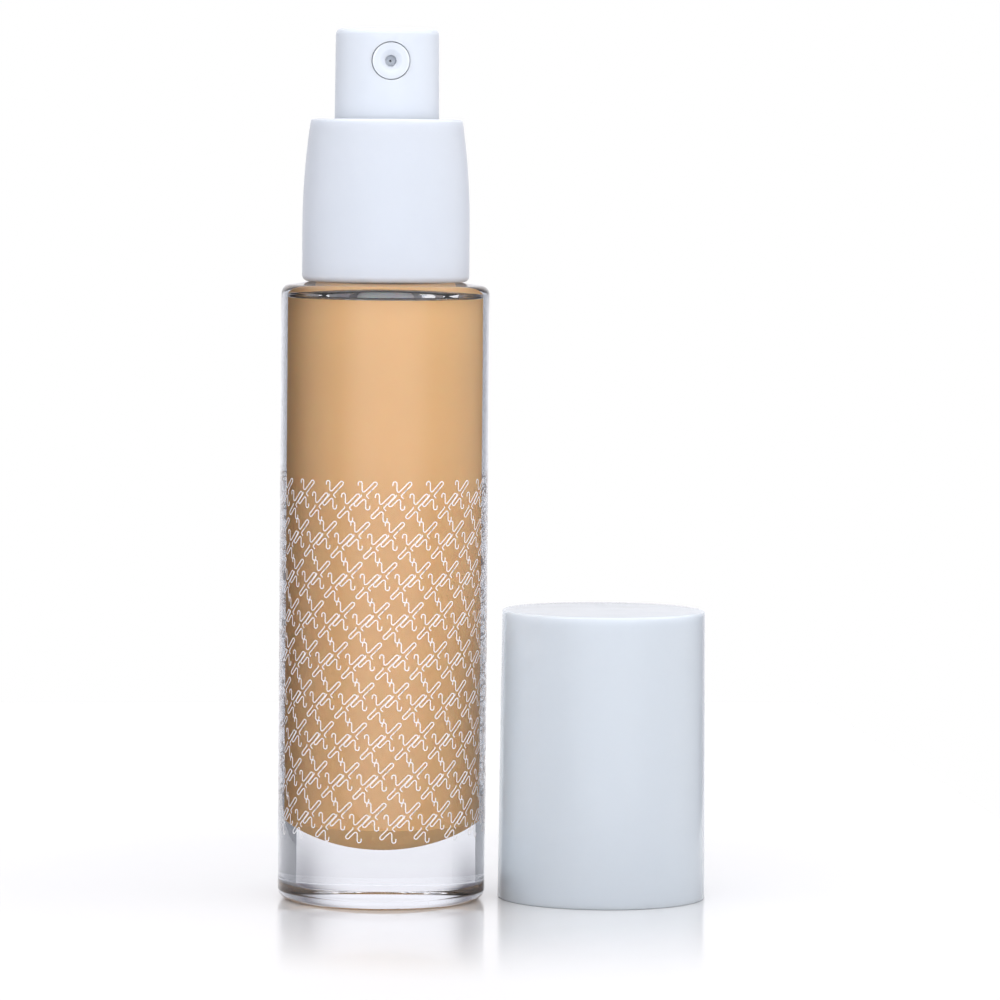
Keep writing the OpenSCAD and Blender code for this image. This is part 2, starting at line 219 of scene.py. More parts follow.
def noise_on_object(tree, scale, detail=3.0, stretch=None):
    """Noise on the object's own coordinates. `scale` is a socket or a number."""
    coordinates = node(tree, "ShaderNodeTexCoord").outputs["Object"]
    if stretch:
        mapping = node(tree, "ShaderNodeMapping")
        mapping.inputs["Scale"].default_value = stretch
        tree.links.new(coordinates, mapping.inputs["Vector"])
        coordinates = mapping.outputs["Vector"]
    noise = node(tree, "ShaderNodeTexNoise")
    noise.inputs["Detail"].default_value = detail
    tree.links.new(coordinates, noise.inputs["Vector"])
    if isinstance(scale, (int, float)):
        noise.inputs["Scale"].default_value = scale
    else:
        tree.links.new(scale, noise.inputs["Scale"])
    return noise.outputs["Fac"]


NOISE_LOW, NOISE_HIGH = 0.3, 0.7    # a noise seldom leaves this range


def spread(tree, value, low, high):
    """Maps the useful middle of a noise to a range of sockets or numbers."""
    ranged = node(tree, "ShaderNodeMapRange")
    ranged.inputs["From Min"].default_value = NOISE_LOW
    ranged.inputs["From Max"].default_value = NOISE_HIGH
    tree.links.new(value, ranged.inputs["Value"])
    for label, bound in (("To Min", low), ("To Max", high)):
        if isinstance(bound, (int, float)):
            ranged.inputs[label].default_value = bound
        else:
            tree.links.new(bound, ranged.inputs[label])
    return ranged.outputs["Result"]


# %% A colour that drifts between two close tones
tone_drift, given, result = new_group(
    "tone_drift",
    {
        "Tone": ("NodeSocketColor", (0.8, 0.8, 0.8, 1)),
        "Other Tone": ("NodeSocketColor", (0.7, 0.7, 0.7, 1)),
        "Scale": ("NodeSocketFloat", 60.0),
    },
    {"Color": "NodeSocketColor"},
)
drift = spread(tone_drift, noise_on_object(tone_drift, given.outputs["Scale"]), 0.0, 1.0)
tone_mix = node(tone_drift, "ShaderNodeMix", data_type="RGBA")
tone_drift.links.new(drift, tone_mix.inputs["Factor"])
tone_drift.links.new(given.outputs["Tone"], tone_mix.inputs["A"])
tone_drift.links.new(given.outputs["Other Tone"], tone_mix.inputs["B"])
tone_drift.links.new(tone_mix.outputs["Result"], result.inputs["Color"])

# %% A roughness that handling has changed in soft patches
handled, given, result = new_group(
    "handled_gloss",
    {
        "Clean": ("NodeSocketFloat", 0.2),
        "Handled": ("NodeSocketFloat", 0.3),
        "Scale": ("NodeSocketFloat", 120.0),
    },
    {"Roughness": "NodeSocketFloat"},
)
patches = noise_on_object(handled, given.outputs["Scale"], detail=5.0)
gloss = spread(handled, patches, given.outputs["Clean"], given.outputs["Handled"])
handled.links.new(gloss, result.inputs["Roughness"])

# %% A fine relief, as a mould leaves it
mould_relief, given, result = new_group(
    "mould_relief",
    {
        "Scale": ("NodeSocketFloat", 900.0),
        "Strength": ("NodeSocketFloat", 0.1),
        "Depth": ("NodeSocketFloat", 0.00002),
    },
    {"Normal": "NodeSocketVector"},
)
relief = node(mould_relief, "ShaderNodeBump")
relief_noise = noise_on_object(mould_relief, given.outputs["Scale"], detail=2.0)
mould_relief.links.new(relief_noise, relief.inputs["Height"])
mould_relief.links.new(given.outputs["Strength"], relief.inputs["Strength"])
mould_relief.links.new(given.outputs["Depth"], relief.inputs["Distance"])
mould_relief.links.new(relief.outputs["Normal"], result.inputs["Normal"])
print("shader groups:", [g.name for g in bpy.data.node_groups])


# %% A finish built from the three groups
def finish(name, tone, other_tone, gloss, relief, tone_scale=60.0, gloss_scale=120.0, **plain):
    """A Principled material. `gloss` is (clean, handled), `relief` is (scale, strength, depth)."""
    material = bpy.data.materials.new(name)
    material.use_nodes = True
    tree = material.node_tree
    shader = tree.nodes["Principled BSDF"]
    for label, value in plain.items():
        shader.inputs[label.replace("_", " ")].default_value = value
    for group, socket, values in (
        (tone_drift, "Base Color", {"Tone": (*tone, 1), "Other Tone": (*other_tone, 1), "Scale": tone_scale}),
        (handled, "Roughness", {"Clean": gloss[0], "Handled": gloss[1], "Scale": gloss_scale}),
        (mould_relief, "Normal", {"Scale": relief[0], "Strength": relief[1], "Depth": relief[2]}),
    ):
        placed_group = node(tree, "ShaderNodeGroup", node_tree=group)
        for label, value in values.items():
            placed_group.inputs[label].default_value = value
        tree.links.new(placed_group.outputs[0], shader.inputs[socket])
    return material


def dress(obj, material):
    obj.data.materials.clear()
    obj.data.materials.append(material)
    return obj


# %% [markdown]
# ## The finishes
#
# The glass is clear with a trace of lilac, and its relief is long and shallow, because pressed
# glass is never quite flat. The make-up is a pigmented cream: opaque, with light that spreads a
# little under its surface, and no gloss of its own, because it wets the glass that is in front
# of it. The collar, button and cap are glossy bluish whites. The pump's inner parts are natural
# plastic, which is a little see-through, so they get some subsurface light as well.

# %% Glass, make-up and ink
clear_glass = finish(
    "clear_glass", (0.85, 0.86, 0.90), (0.835, 0.85, 0.89), (0.0, 0.006), (70.0, 0.12, 0.0002),
    Transmission_Weight=1.0, IOR=1.5,
)
make_up = finish(
    "make_up", (0.90, 0.525, 0.215), (0.92, 0.54, 0.225), (0.45, 0.55), (300.0, 0.05, 0.00002),
    Subsurface_Weight=0.15, Subsurface_Scale=0.001, Specular_IOR_Level=0.0,
)
white_ink = finish(
    "white_ink", (0.66, 0.645, 0.66), (0.62, 0.605, 0.62), (0.35, 0.5), (2500.0, 0.3, 0.00001),
    tone_scale=400.0,
)

# %% The outer plastics
pump_white = finish(
    "pump_white", (0.525, 0.55, 0.595), (0.515, 0.542, 0.587), (0.34, 0.42), (1500.0, 0.06, 0.00001),
    Subsurface_Weight=1.0, Subsurface_Scale=0.003, Subsurface_Radius=(1, 1, 1), Specular_IOR_Level=0.25,
)
button_white = finish(
    "button_white", (0.575, 0.605, 0.65), (0.565, 0.597, 0.642), (0.36, 0.44), (1500.0, 0.06, 0.00001),
    Subsurface_Weight=1.0, Subsurface_Scale=0.0012, Subsurface_Radius=(1, 1, 1), Specular_IOR_Level=0.25,
)
cap_white = finish(
    "cap_white", (0.475, 0.51, 0.548), (0.467, 0.503, 0.542), (0.15, 0.19), (1200.0, 0.05, 0.00001),
    Subsurface_Weight=1.0, Subsurface_Scale=0.003, Subsurface_Radius=(1, 1, 1), Specular_IOR_Level=0.45,
)

# %% The inner parts
inner_white = finish(
    "inner_white", (0.80, 0.81, 0.83), (0.77, 0.78, 0.80), (0.42, 0.55), (1000.0, 0.2, 0.00002),
)
natural_plastic = finish(
    "natural_plastic", (0.82, 0.83, 0.82), (0.78, 0.79, 0.77), (0.3, 0.42), (800.0, 0.15, 0.00002),
    Subsurface_Weight=0.5, Subsurface_Scale=0.002, IOR=1.5,
)
soft_plastic = finish(
    "soft_plastic", (0.80, 0.79, 0.76), (0.76, 0.75, 0.72), (0.5, 0.6), (900.0, 0.1, 0.00002),
)
foam_seal = finish(
    "foam_seal", (0.82, 0.82, 0.80), (0.74, 0.74, 0.72), (0.8, 0.9), (3500.0, 0.9, 0.00008),
    tone_scale=2500.0,
)
spring_steel = finish(
    "spring_steel", (0.62, 0.62, 0.63), (0.55, 0.55, 0.57), (0.22, 0.36), (2600.0, 0.3, 0.00001),
    tone_scale=500.0, gloss_scale=700.0, Metallic=1.0,
)
polished_steel = finish(
    "polished_steel", (0.72, 0.72, 0.73), (0.69, 0.69, 0.70), (0.05, 0.10), (700.0, 0.03, 0.00001),
    Metallic=1.0,
)
print("materials:", len(bpy.data.materials))

# %% [markdown]
# ## The glass bottle
#
# A pressed bottle is one piece of glass with a heavy base. Its outline runs from the hollow
# under the base, round the ring it stands on, up the side, over the shoulder to the neck, and
# back down inside the cavity to its domed floor. The screw thread isn't a separate ridge stuck
# on the neck, which would leave glass walls inside glass: the neck's own radius swells along a
# helix, so the surface stays one closed skin and light bends through it once.

# %% The thread on the neck
THREAD_DEPTH = 0.9 * MM
THREAD_PITCH = 3.175 * MM
THREAD_TURNS = 1.25
THREAD_FOOT = NECK_TOP - 1.4 * MM - THREAD_PITCH * THREAD_TURNS
THREAD_BASE = 2.1 * MM
THREAD_CREST = 0.9 * MM
THREAD_LEAD = 0.125      # turns over which the thread grows at each end


def neck_thread(angle, radius, height):
    """How far the thread stands out of the neck at an angle and a height."""
    if abs(radius - NECK_R) > ON_AXIS:
        return 0.0
    best = 0.0
    for lap in range(int(THREAD_TURNS) + 2):
        turn = angle / (2 * math.pi) + lap
        if turn > THREAD_TURNS:
            break
        off = abs(height - THREAD_FOOT - THREAD_PITCH * turn)
        rise = (THREAD_BASE / 2 - off) / ((THREAD_BASE - THREAD_CREST) / 2)
        rise = min(1.0, max(0.0, rise))
        grown = min(1.0, turn / THREAD_LEAD, (THREAD_TURNS - turn) / THREAD_LEAD)
        best = max(best, grown * rise * rise * (3 - 2 * rise))
    return THREAD_DEPTH * best


# %% The outline of the glass
STAND_R = BOTTLE_R - BASE_EDGE
PUNT_R = STAND_R - BEARING_RING
NECK_LIP = 0.5 * MM
FINE_STEP = 0.13 * MM
SIDE_STEP = 6 * MM


def cavity_outline(grow=0.0):
    """The cavity from the axis to the neck, grown by a little into the glass."""
    r = CAVITY_R
    ball = sphere_over(r, FLOOR_DOME)
    edge = math.degrees(math.asin(r / ball))
    floor = arc((0, CAVITY_FLOOR + ball), ball + grow, -90, edge - 90, 28)
    corner = arc((r - CAVITY_EDGE, CAVITY_ROOF - CAVITY_EDGE), CAVITY_EDGE + grow, 0, 90, 6)
    roof_end = CAVITY_ROOF + (r - CAVITY_EDGE - NECK_BORE_R) * math.tan(SHOULDER_SLOPE)
    bore = [(NECK_BORE_R + grow, roof_end + grow), (NECK_BORE_R + grow, NECK_TOP)]
    side = spaced((r + grow, floor[-1][1]), corner[0], SIDE_STEP)
    return floor + side[1:] + corner + bore


def glass_outline():
    punt_ball = sphere_over(PUNT_R, PUNT_H)
    punt_edge = math.degrees(math.asin(PUNT_R / punt_ball))
    punt = arc((0, PUNT_H - punt_ball), punt_ball, 90, 90 - punt_edge, 20)
    foot = arc((STAND_R, BASE_EDGE), BASE_EDGE, -90, 0, 12)
    shoulder_centre = (BOTTLE_R - SHOULDER_EDGE, SHOULDER_H - SHOULDER_EDGE)
    shoulder = arc(shoulder_centre, SHOULDER_EDGE, 0, 90, 12)
    neck = spaced((NECK_R, NECK_FOOT), (NECK_R, NECK_TOP - NECK_LIP), FINE_STEP)
    lip = arc((NECK_R - NECK_LIP, NECK_TOP - NECK_LIP), NECK_LIP, 0, 90, 5)
    outside = punt + foot + spaced(foot[-1], shoulder[0], SIDE_STEP)[1:] + shoulder + neck + lip
    return outside + cavity_outline()[::-1]


bottle_glass = as_object("bottle_glass", turned(glass_outline(), swell=neck_thread), sharp=50)
dress(bottle_glass, clear_glass)
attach(bottle_glass, "bottle")
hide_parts("glass_bottle")

# %% [markdown]
# ## The make-up
#
# The cream fills the cavity. If its surface lay exactly on the inner wall, the renderer would
# meet two surfaces at one place, and if it stopped short, there would be a bright film of air.
# A real liquid wets the wall, so the cream is grown a hair into the glass, and a ray goes
# straight from glass into cream. It leaves room for the dip tube and the pump.

# %% Make-up
WETTING = 0.03 * MM
tube_low, tube_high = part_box("dip_tube")
housing_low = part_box("pump_housing")[0]
PUMP_ROOM = 0.15 * MM
NOSE_R = 2.7 * MM


def make_up_outline():
    wall = cavity_outline(WETTING)
    wetted = [point for point in wall if point[1] < FILL_TOP]
    (r, z), (next_r, next_z) = wetted[-1], wall[len(wetted)]
    shore = r + (next_r - r) * (FILL_TOP - z) / (next_z - z)
    tube_r = tube_high.x + PUMP_ROOM
    nose_foot = housing_low.z - PUMP_ROOM
    return wetted + [(shore, FILL_TOP)] + [
        (NOSE_R + PUMP_ROOM, FILL_TOP),
        (NOSE_R + PUMP_ROOM, nose_foot),
        (tube_r, nose_foot),
        (tube_r, tube_low.z - PUMP_ROOM),
        (0, tube_low.z - PUMP_ROOM),
    ]


cream = as_object("cream", turned(make_up_outline()))
dress(cream, make_up)
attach(cream, "bottle")
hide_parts("foundation_fill")

# %% [markdown]
# ## The printed lines
#
# The lower half of the bottle is screen printed with a fine lattice of thin white strokes. The
# print could be a pattern in the glass's colour, but ink lies on top of the glass, hides what is
# behind it and casts a shadow on the cream, so it is real geometry here. One small motif is made
# as a mesh from a pen's path. A Geometry Nodes tree then lays it out in drifting rows on a flat
# sheet and wraps the sheet round the bottle.

# %% The path of one pen stroke
STROKE_W = 0.17 * MM
INK_H = 0.015 * MM
INK_SUNK = 0.01 * MM
HAIRPIN_HALF = 0.31 * MM     # half the distance between a hairpin's legs
HAIRPIN_LONG = 2.05 * MM
HAIRPIN_BACK = 0.2 * MM      # the leg that comes back is this much longer
PEN_START = (-0.96 * MM, 1.6 * MM)
TIP_LONG = 0.35 * MM
HOOK_R = 0.33 * MM
HOOK_LONG = 1.08 * MM
VALLEY_R = 0.27 * MM
TAIL_R = 0.16 * MM
TAIL_LONG = 0.45 * MM
BEND_STEP = 30               # degrees of a bend for each point
SHORTER = 0.7 * MM           # the turned hairpins are this much shorter, so no strokes cross


def pen_path(point, heading, moves):
    """Follows a pen: each move is a straight length, then a turn to the left and its radius."""
    path = [Vector(point)]
    for straight, turn, radius in moves:
        here = path[-1] + straight * Vector((math.cos(heading), math.sin(heading)))
        path.append(here)
        if turn:
            bend = math.copysign(radius, turn)
            centre = here + bend * Vector((-math.sin(heading), math.cos(heading)))
            steps = max(2, round(abs(turn) / BEND_STEP))
            for i in range(1, steps + 1):
                now = heading + math.radians(turn) * i / steps
                path.append(centre - bend * Vector((-math.sin(now), math.cos(now))))
            heading += math.radians(turn)
    return path


def hooked_hairpin(shorter, tail):
    """A small hook, a valley, a long hairpin and a short tail, in one stroke."""
    long_leg = HAIRPIN_LONG - shorter
    return pen_path(PEN_START, math.radians(90), [
        (TIP_LONG, -180, HOOK_R), (HOOK_LONG, 135, VALLEY_R), (long_leg, -180, HAIRPIN_HALF),
        (long_leg + HAIRPIN_BACK, 90, TAIL_R), (tail, 0, 0),
    ])


def stroke(bm, path):
    """A closed ribbon of ink along a path in the XZ plane, standing out towards -Y."""
    rings = []
    for i, point in enumerate(path):
        before, after = path[max(i - 1, 0)], path[min(i + 1, len(path) - 1)]
        along = (after - before).normalized()
        side = Vector((-along.y, along.x)) * STROKE_W / 2
        left, right = point + side, point - side
        corners = ((left, INK_SUNK), (right, INK_SUNK), (right, -INK_H), (left, -INK_H))
        rings.append([bm.verts.new((p.x, y, p.y)) for p, y in corners])
    for low, high in zip(rings, rings[1:]):
        join_rings(bm, low, high)
    bm.faces.new(rings[0])
    bm.faces.new(rings[-1])


# %% The motif: a stroke and a shorter one turned by half a turn, twice
PRINT_COLUMNS = 19
PRINT_PITCH = 2 * math.pi * BOTTLE_R / PRINT_COLUMNS
SECOND_DROP = 1.96 * MM
NO_TAIL = 0.05 * MM
motif_mesh = bmesh.new()
for centre in (Vector((0, 0)), Vector((PRINT_PITCH / 2, -SECOND_DROP))):
    for half_turn, shorter, tail in ((1, 0, TAIL_LONG), (-1, SHORTER, NO_TAIL)):
        stroke(motif_mesh, [centre + half_turn * point for point in hooked_hairpin(shorter, tail)])
bmesh.ops.recalc_face_normals(motif_mesh, faces=motif_mesh.faces)
motif = as_object("printed_motif", motif_mesh, sharp=30)


# %% Helpers for Geometry Nodes
def new_tree(name, inputs):
    """A Geometry Nodes tree with a geometry output and named inputs."""
    tree = bpy.data.node_groups.new(name, "GeometryNodeTree")
    for label, kind in inputs.items():
        tree.interface.new_socket(label, in_out="INPUT", socket_type=kind)
    tree.interface.new_socket("Geometry", in_out="OUTPUT", socket_type="NodeSocketGeometry")
    return tree, node(tree, "NodeGroupInput"), node(tree, "NodeGroupOutput")


def math_node(tree, operation, *values):
    made = node(tree, "ShaderNodeMath", operation=operation)
    for i, value in enumerate(values):
        if isinstance(value, (int, float)):
            made.inputs[i].default_value = value
        else:
            tree.links.new(value, made.inputs[i])
    return made.outputs[0]


def combine(tree, x, y, z):
    made = node(tree, "ShaderNodeCombineXYZ")
    for label, value in (("X", x), ("Y", y), ("Z", z)):
        if isinstance(value, (int, float)):
            made.inputs[label].default_value = value
        else:
            tree.links.new(value, made.inputs[label])
    return made.outputs[0]


def end_tree(tree, geometry, material, output):
    """Every tree ends by making its instances real and setting their material."""
    real = node(tree, "GeometryNodeRealizeInstances")
    coat = node(tree, "GeometryNodeSetMaterial")
    tree.links.new(geometry, real.inputs["Geometry"])
    tree.links.new(real.outputs["Geometry"], coat.inputs["Geometry"])
    tree.links.new(material, coat.inputs["Material"])
    tree.links.new(coat.outputs["Geometry"], output.inputs["Geometry"])


def grown(name, tree, values):
    """Makes an object from a tree, with its inputs set by their identifiers, and freezes it."""
    obj = bpy.data.objects.new(name, bpy.data.meshes.new(name))
    bpy.context.scene.collection.objects.link(obj)
    modifier = obj.modifiers.new(name, "NODES")
    modifier.node_group = tree
    for item in tree.interface.items_tree:
        if item.in_out == "INPUT":
            modifier[item.identifier] = values[item.name]
    freeze(obj)
    print(name, len(obj.data.polygons), "faces")
    return obj


# %% The tree that lays out the motif and wraps it
wrapped_print, given, result = new_tree(
    "wrapped_print",
    {
        "Motif": "NodeSocketObject", "Columns": "NodeSocketInt", "Rows": "NodeSocketInt",
        "Pitch": "NodeSocketFloat", "Row Rise": "NodeSocketFloat", "Drift": "NodeSocketFloat",
        "Start": "NodeSocketFloat", "Foot": "NodeSocketFloat", "Radius": "NodeSocketFloat",
        "Ink": "NodeSocketMaterial",
    },
)
link = wrapped_print.links.new
total = math_node(wrapped_print, "MULTIPLY", given.outputs["Columns"], given.outputs["Rows"])
sites = node(wrapped_print, "GeometryNodeMeshLine")
link(total, sites.inputs["Count"])
index = node(wrapped_print, "GeometryNodeInputIndex").outputs[0]
column = math_node(wrapped_print, "MODULO", index, given.outputs["Columns"])
row = math_node(
    wrapped_print, "FLOOR", math_node(wrapped_print, "DIVIDE", index, given.outputs["Columns"])
)
row_start = math_node(wrapped_print, "MULTIPLY_ADD", row, given.outputs["Drift"], given.outputs["Start"])
along = math_node(wrapped_print, "MULTIPLY_ADD", column, given.outputs["Pitch"], row_start)
up = math_node(wrapped_print, "MULTIPLY_ADD", row, given.outputs["Row Rise"], given.outputs["Foot"])
lay_out = node(wrapped_print, "GeometryNodeSetPosition")
link(sites.outputs["Mesh"], lay_out.inputs["Geometry"])
link(combine(wrapped_print, along, 0.0, up), lay_out.inputs["Position"])
motif_info = node(wrapped_print, "GeometryNodeObjectInfo")
link(given.outputs["Motif"], motif_info.inputs["Object"])
stamp = node(wrapped_print, "GeometryNodeInstanceOnPoints")
link(lay_out.outputs["Geometry"], stamp.inputs["Points"])
link(motif_info.outputs["Geometry"], stamp.inputs["Instance"])
flat_sheet = node(wrapped_print, "GeometryNodeRealizeInstances")
link(stamp.outputs["Instances"], flat_sheet.inputs["Geometry"])
place = node(wrapped_print, "ShaderNodeSeparateXYZ")
link(node(wrapped_print, "GeometryNodeInputPosition").outputs[0], place.inputs[0])
angle = math_node(wrapped_print, "DIVIDE", place.outputs["X"], given.outputs["Radius"])
reach = math_node(wrapped_print, "SUBTRACT", given.outputs["Radius"], place.outputs["Y"])
round_x = math_node(wrapped_print, "MULTIPLY", reach, math_node(wrapped_print, "SINE", angle))
toward = math_node(wrapped_print, "MULTIPLY", reach, math_node(wrapped_print, "COSINE", angle))
round_y = math_node(wrapped_print, "MULTIPLY", toward, -1.0)
wrap = node(wrapped_print, "GeometryNodeSetPosition")
link(flat_sheet.outputs["Geometry"], wrap.inputs["Geometry"])
link(combine(wrapped_print, round_x, round_y, place.outputs["Z"]), wrap.inputs["Position"])
end_tree(wrapped_print, wrap.outputs["Geometry"], given.outputs["Ink"], result)

# %% Print the bottle
PRINT_TOP = 67.1 * MM
PRINT_ROWS = 9
PRINT_ROW_RISE = 6.48 * MM
PRINT_DRIFT = 1.18 * MM   # sideways, every row
PRINT_START = 2.9 * MM
printed_lines = grown(
    "printed_lines", wrapped_print,
    {
        "Motif": motif, "Columns": PRINT_COLUMNS, "Rows": PRINT_ROWS, "Pitch": PRINT_PITCH,
        "Row Rise": PRINT_ROW_RISE, "Drift": PRINT_DRIFT, "Start": PRINT_START,
        "Foot": PRINT_TOP - PRINT_ROW_RISE * (PRINT_ROWS - 1), "Radius": BOTTLE_R, "Ink": white_ink,
    },
)
bpy.data.objects.remove(motif)
smooth(printed_lines, 30)
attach(printed_lines, "bottle")

# %% [markdown]
# ## The collar
#
# The collar is a smooth white skirt that hides the threaded closure. Its side is straight near
# the foot and draws in along a long arc towards the top, where a flat ring with a soft inner
# edge frames the button.

# %% Collar
collar_low, collar_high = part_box("collar_shell")
closure_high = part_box("screw_closure")[1]
actuator_low, actuator_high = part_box("actuator")
COLLAR_R = collar_high.x
COLLAR_TAPER = 1.25 * MM
COLLAR_STRAIGHT = 9 * MM
COLLAR_WALL = 1 * MM
COLLAR_FOOT_EDGE = 1 * MM
COLLAR_TOP_EDGE = 0.4 * MM
MOUTH_EDGE = 0.3 * MM
MOUTH_R = actuator_high.x + 0.3 * MM
MOUTH_LIP = 0.6 * MM
LIP_RISE = 0.4 * MM      # above the button's foot
SLEEVE_BEVEL = 0.3 * MM
FACE_GAP = 0.02 * MM


def collar_outline():
    top_r = COLLAR_R - COLLAR_TAPER
    sleeve_r = closure_high.x + FACE_GAP
    straight_z = collar_low.z + COLLAR_STRAIGHT
    taper_h = collar_high.z - COLLAR_TOP_EDGE - straight_z
    taper_r = sphere_over(taper_h, COLLAR_TAPER)
    taper_end = math.degrees(math.asin(taper_h / taper_r))
    foot_centre = (COLLAR_R - COLLAR_FOOT_EDGE, collar_low.z + COLLAR_FOOT_EDGE)
    top_centre = (top_r - COLLAR_TOP_EDGE, collar_high.z - COLLAR_TOP_EDGE)
    mouth_centre = (MOUTH_R + MOUTH_EDGE, collar_high.z - MOUTH_EDGE)
    outside = arc(foot_centre, COLLAR_FOOT_EDGE, -90, 0, 12)
    outside += arc((COLLAR_R - taper_r, straight_z), taper_r, 0, taper_end, 32)
    outside += arc(top_centre, COLLAR_TOP_EDGE, 10, 90, 8)
    mouth = arc(mouth_centre, MOUTH_EDGE, 90, 180, 6)
    lip_z = actuator_low.z + LIP_RISE
    under = collar_high.z - COLLAR_WALL
    return outside + mouth + [
        (MOUTH_R, lip_z), (MOUTH_R + MOUTH_LIP, lip_z), (MOUTH_R + MOUTH_LIP, under),
        (top_r - COLLAR_WALL, under), (top_r - COLLAR_WALL, closure_high.z + FACE_GAP),
        (sleeve_r, closure_high.z + FACE_GAP), (sleeve_r, collar_low.z + SLEEVE_BEVEL),
        (sleeve_r + SLEEVE_BEVEL, collar_low.z),
    ]


collar = as_object("collar", turned(collar_outline()))
dress(collar, pump_white)
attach(collar, "closure")
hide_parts("collar_shell")

# %% [markdown]
# ## The push button
#
# The button is a thin cap with a post inside that grips the stem, and a tunnel from the post to
# the nozzle. The round body is turned, and the nozzle's seat is cut across it with Boolean
# modifiers, as a side core does in the mould.

# %% Button body and tools
nozzle_low, nozzle_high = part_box("nozzle_insert")
stem_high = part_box("main_stem")[1]
NOZZLE_Z = (nozzle_low.z + nozzle_high.z) / 2
NOZZLE_R = nozzle_high.x
NOZZLE_FACE = -nozzle_low.y
BUTTON_R = actuator_high.x
BUTTON_TOP_R = 8.4 * MM
BUTTON_EDGE = 0.9 * MM
BUTTON_WALL = 1 * MM
BUTTON_ROOF = 1.2 * MM
BUTTON_STEP = 1.2 * MM   # between the points of its side
POST_R = stem_high.x + 1.1 * MM
POST_FOOT = actuator_low.z + 2.7 * MM
POST_ROOT = 0.5 * MM     # how far the post reaches into the roof
SOCKET_R = stem_high.x + 0.05 * MM
SOCKET_SPARE = 0.1 * MM  # above the stem
SEAT_GROOVE = 0.12 * MM
SEAT_STEP = NOZZLE_FACE - 1.2 * MM
SEAT_BACK = SEAT_STEP - 2.1 * MM
GRIP_R = NOZZLE_R - 0.35 * MM
TUNNEL_R = 0.9 * MM
BOSS_SHORT = 1.1 * MM    # how far the nozzle's boss stays behind the outside


def button_outline():
    top = actuator_high.z
    foot_bevel = 0.15 * MM
    side_top = (BUTTON_TOP_R, top - BUTTON_EDGE)
    edge = arc((BUTTON_TOP_R - BUTTON_EDGE, top - BUTTON_EDGE), BUTTON_EDGE, 0, 90, 14)
    side = spaced((BUTTON_R, actuator_low.z + foot_bevel), side_top, BUTTON_STEP)
    foot = [(BUTTON_R - BUTTON_WALL, actuator_low.z), (BUTTON_R - foot_bevel, actuator_low.z)]
    ceiling = top - BUTTON_ROOF
    return foot + side + edge + [(0, top), (0, ceiling), (BUTTON_TOP_R - BUTTON_WALL, ceiling)]


def rod(radius, start, end, segments=96):
    """A solid round bar along Z, as a bmesh."""
    return turned([(0, start), (radius, start), (radius, end), (0, end)], segments)


def toward_front(bm):
    """Turns a bmesh made along +Z so that it runs along -Y at the nozzle's height."""
    turn = Matrix.Rotation(math.radians(90), 4, "X")
    return placed(bm, Matrix.Translation((0, 0, NOZZLE_Z)) @ turn)


def combined(obj, tool, operation):
    modifier = obj.modifiers.new(operation, "BOOLEAN")
    modifier.object = tool
    modifier.operation = operation
    modifier.solver = "EXACT"
    freeze(obj)
    bpy.data.objects.remove(tool)


# %% Cut the nozzle's seat
button = as_object("push_button", turned(button_outline()))
ceiling = actuator_high.z - BUTTON_ROOF
for tool, operation in (
    (rod(POST_R, POST_FOOT, ceiling + POST_ROOT), "UNION"),
    (toward_front(rod(NOZZLE_R + MM, 0, BUTTON_TOP_R - BOSS_SHORT)), "UNION"),
    (rod(SOCKET_R, POST_FOOT - MM, stem_high.z + SOCKET_SPARE), "DIFFERENCE"),
    (rod(TUNNEL_R, stem_high.z - MM, NOZZLE_Z), "DIFFERENCE"),
    (toward_front(rod(TUNNEL_R, 0, SEAT_BACK + MM)), "DIFFERENCE"),
    (toward_front(rod(GRIP_R, SEAT_BACK, SEAT_STEP + MM)), "DIFFERENCE"),
    (toward_front(rod(NOZZLE_R + SEAT_GROOVE, SEAT_STEP, BUTTON_R + MM)), "DIFFERENCE"),
):
    combined(button, as_object("tool", tool), operation)
smooth(button, 35)
dress(button, button_white)
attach(button, "head")
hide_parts("actuator")

# %% [markdown]
# ## The nozzle
#
# The nozzle is a little disc pressed into its seat, with a shallow dish round the hole. Its face
# sits just inside the button's curved side, so a thin shadow line rings it.

# %% Nozzle insert
ORIFICE_R = 0.95 * MM
ORIFICE_DEPTH = 1.5 * MM
THROAT_R = 0.16 * MM
ORIFICE_EDGE = 0.1 * MM
DISH_DEPTH = 0.45 * MM
DISH_R = NOZZLE_R * 0.645
DISH_BEVEL = 0.25 * MM
DISH_DROP = 0.1 * MM
DISH_FLAT = 0.2 * MM      # from the dish's foot to the hole
HOLE_BREAK = 0.08 * MM
FACE_EDGE = 0.12 * MM


def nozzle_outline():
    face = NOZZLE_FACE
    rim = arc((NOZZLE_R - FACE_EDGE, face - FACE_EDGE), FACE_EDGE, 0, 90, 5)
    dish_foot = face - DISH_DEPTH
    dish = [
        (DISH_R, face), (DISH_R - DISH_BEVEL, face - DISH_DROP), (ORIFICE_R + DISH_FLAT, dish_foot)
    ]
    floor = dish_foot - ORIFICE_DEPTH
    hole = [
        (ORIFICE_R, dish_foot - HOLE_BREAK), (ORIFICE_R, floor + ORIFICE_EDGE),
        (ORIFICE_R - ORIFICE_EDGE, floor),
    ]
    throat = [(THROAT_R, floor), (THROAT_R, SEAT_BACK)]
    grip = [(GRIP_R, SEAT_BACK), (GRIP_R, SEAT_STEP + FACE_GAP), (NOZZLE_R, SEAT_STEP + FACE_GAP)]
    return grip + rim + dish + hole + throat


nozzle = as_object("nozzle", toward_front(turned(nozzle_outline(), 128)))
dress(nozzle, button_white)
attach(nozzle, "head")
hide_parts("nozzle_insert")

